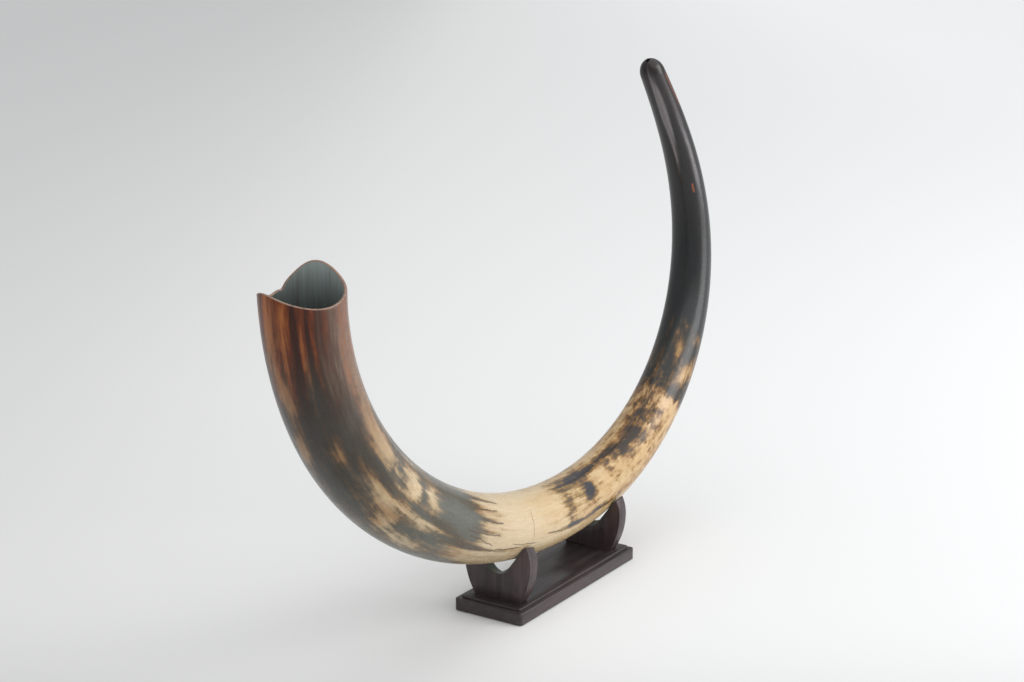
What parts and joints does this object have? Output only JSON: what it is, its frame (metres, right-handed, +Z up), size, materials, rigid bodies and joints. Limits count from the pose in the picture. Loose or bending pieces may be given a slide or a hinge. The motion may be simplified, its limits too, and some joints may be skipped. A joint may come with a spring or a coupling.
{
  "type": "ox-horn shofar on a wooden stand",
  "caption": "Long curved hollow horn, blown through a drilled hole in its solid tip, resting loose in the felt-lined notches of a small stepped wooden stand.",
  "frame": {"origin": "the middle of the underside of the stand's felt sheet, on the surface that the stand rests on", "axes": "+X along the stand from the mouth's side to the tip's side, +Z up, +Y across the stand; the mouth leans to -Y and the tip to +Y"},
  "size_m": [0.7799, 0.0901, 0.5249],
  "materials": {
    "horn": "polished natural ox horn, amber brown at the mouth, marbled cream in the middle, black at the tip",
    "dark_wood": "dark stained hardwood with a satin lacquer",
    "green_felt": "dark green felt",
    "zinc_screw": "plain zinc-plated wood screw"
  },
  "bodies": {
    "stand": {"base_board": "dark_wood", "base_felt": "green_felt", "front_cradle": "dark_wood", "rear_cradle": "dark_wood", "front_liner": "green_felt", "rear_liner": "green_felt", "front_screw_1": "zinc_screw", "front_screw_2": "zinc_screw", "rear_screw_1": "zinc_screw", "rear_screw_2": "zinc_screw"},
    "horn": {"horn": "horn"}
  },
  "joints": [
    {"name": "horn_lift", "type": "slide", "parent": "stand", "child": "horn", "axis": [0, 0, 1], "range_m": [0, 0.15]}
  ]
}
